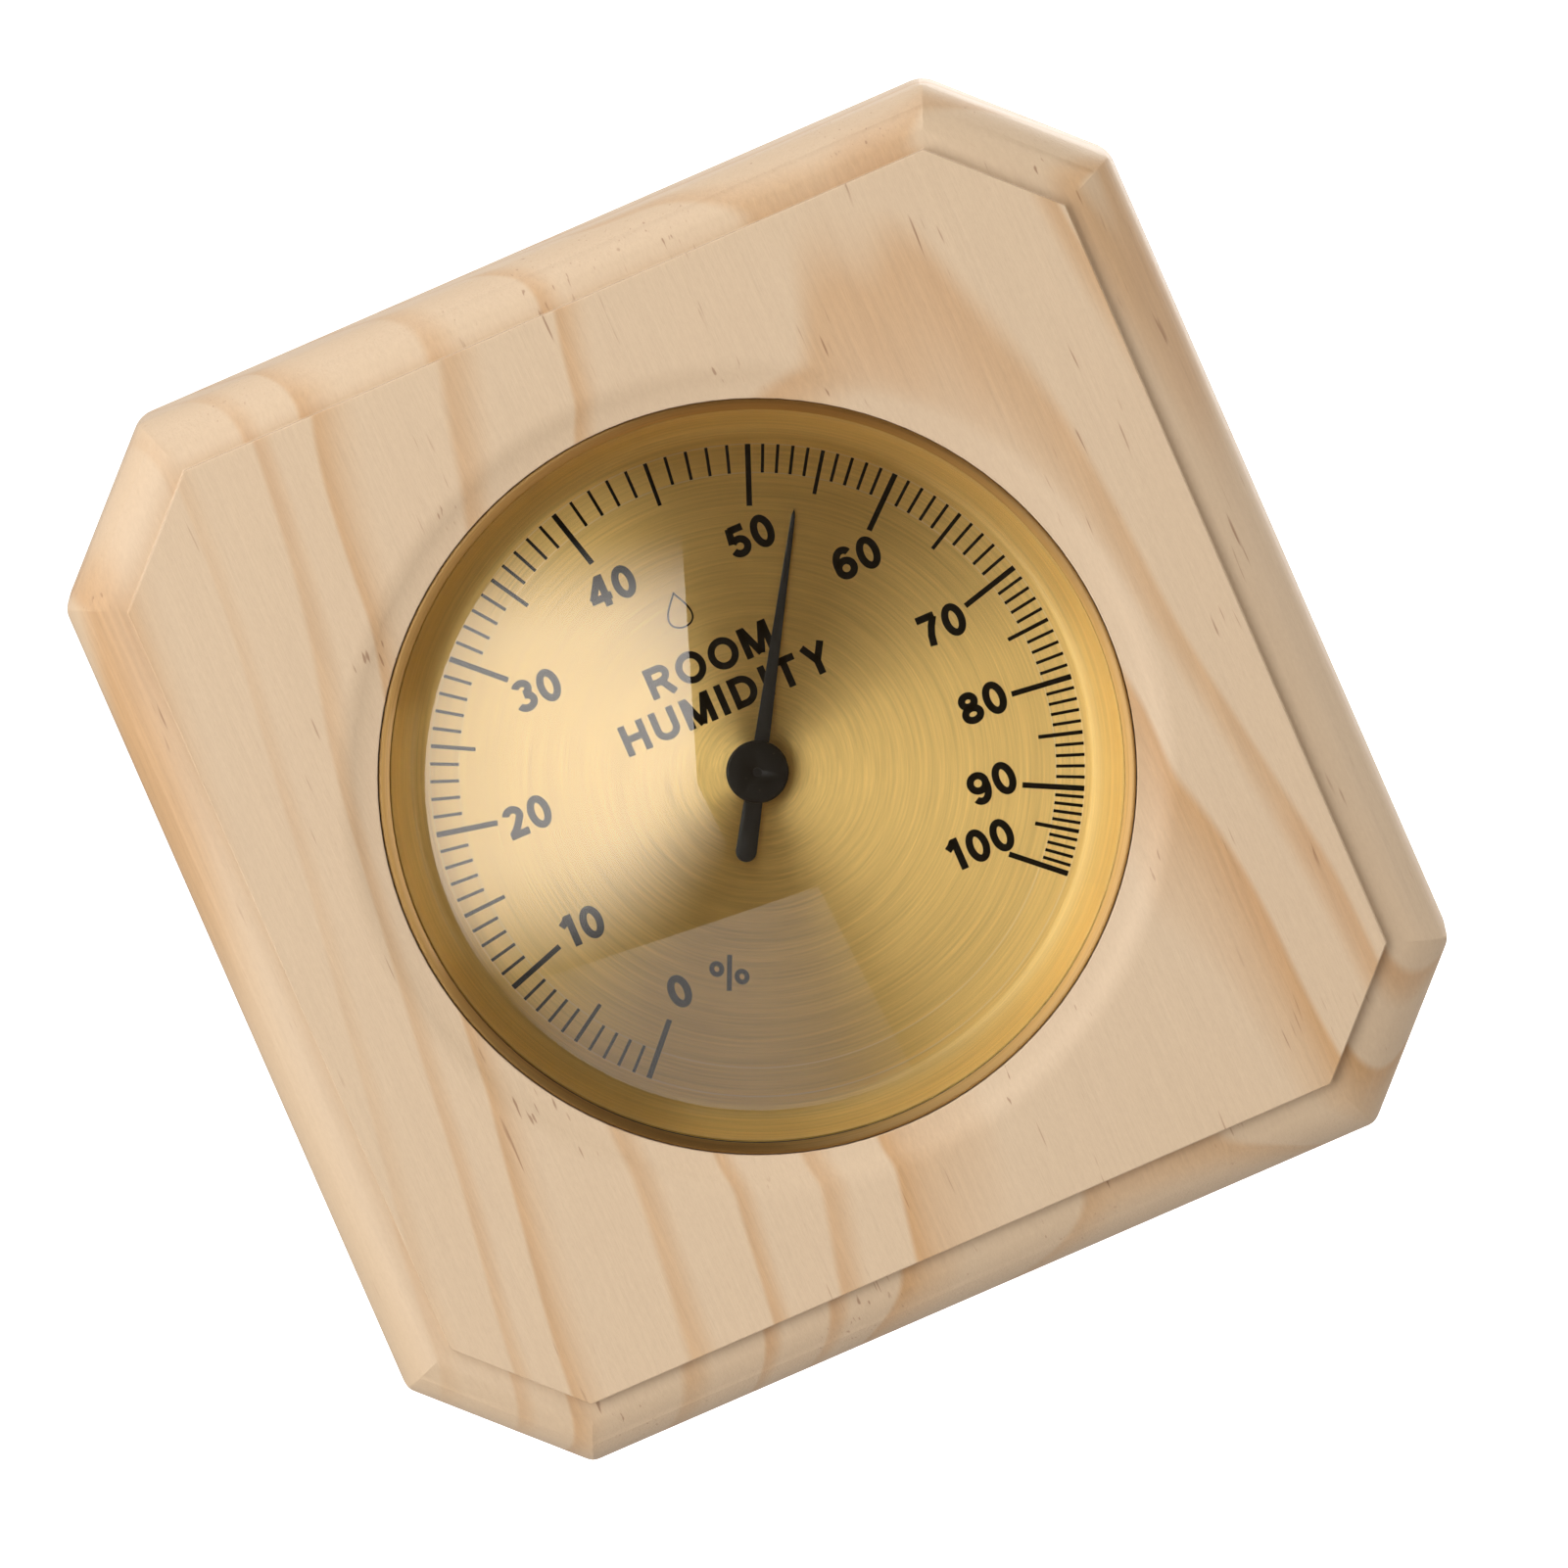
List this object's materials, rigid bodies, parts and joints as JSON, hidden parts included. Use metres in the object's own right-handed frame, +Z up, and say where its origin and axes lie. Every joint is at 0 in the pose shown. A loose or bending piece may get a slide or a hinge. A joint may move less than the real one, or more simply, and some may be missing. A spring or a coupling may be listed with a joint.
{
  "type": "dial hygrometer",
  "caption": "Wall-hung dial hygrometer: a brass-faced humidity dial with a black pointer under glass, set in an octagonal pine board with a raised panel.",
  "frame": {"origin": "on the board's back plane, on the pointer's axis", "axes": "+Z up, +Y into the wall, the dial faces -Y, +X to the right of someone reading it"},
  "size_m": [0.15, 0.024, 0.15],
  "materials": {
    "pine": "planed and sanded softwood, unvarnished",
    "satin_brass": "circular-brushed, clear lacquered",
    "clear_glass": "float glass, polished",
    "black_rubber": "moulded",
    "tinned_steel": "drawn sheet, dull bright",
    "zinc_steel": "zinc-plated",
    "movement_brass": "stamped and turned",
    "coil_laminate": "strip metal with a thin moisture-swelling coat",
    "arbor_steel": "turned",
    "pointer_black": "matte black enamel",
    "hub_black": "moulded, matte"
  },
  "bodies": {
    "case": {"wood_board": "pine", "hanger_plate": "zinc_steel", "hanger_screws": "zinc_steel", "bezel_ring": "satin_brass", "crystal": "clear_glass", "crystal_gasket": "black_rubber", "dial_pan": "satin_brass", "dial_feet": "movement_brass", "case_body": "tinned_steel", "cover_lugs": "tinned_steel", "back_cover": "tinned_steel", "cover_screws": "zinc_steel", "case_clips": "zinc_steel", "clip_screws": "zinc_steel", "movement_plate": "movement_brass", "movement_pillars": "movement_brass", "front_bush": "movement_brass", "rear_bridge": "movement_brass", "bridge_screws": "zinc_steel", "adjuster_spring_washer": "zinc_steel"},
    "adjuster": {"adjuster_stud": "movement_brass", "adjuster_arm": "movement_brass", "adjuster_clip": "zinc_steel", "coil_post": "movement_brass", "humidity_coil": "coil_laminate"},
    "pointer": {"pointer_arbor": "arbor_steel", "coil_collet": "movement_brass", "pointer_blade": "pointer_black", "pointer_hub": "hub_black"}
  },
  "joints": [
    {"name": "adjuster_turn", "type": "hinge", "parent": "case", "child": "adjuster", "pos_m": [0, -0.0047, 0], "axis": [0, 1, 0], "range_deg": [-35, 35]},
    {"name": "pointer_spin", "type": "hinge", "parent": "adjuster", "child": "pointer", "pos_m": [0, -0.0125, 0], "axis": [0, 1, 0], "range_deg": [-171.5, 103.5], "stiffness_Nm_per_rad": 0.001, "deforming": ["humidity_coil"]}
  ]
}
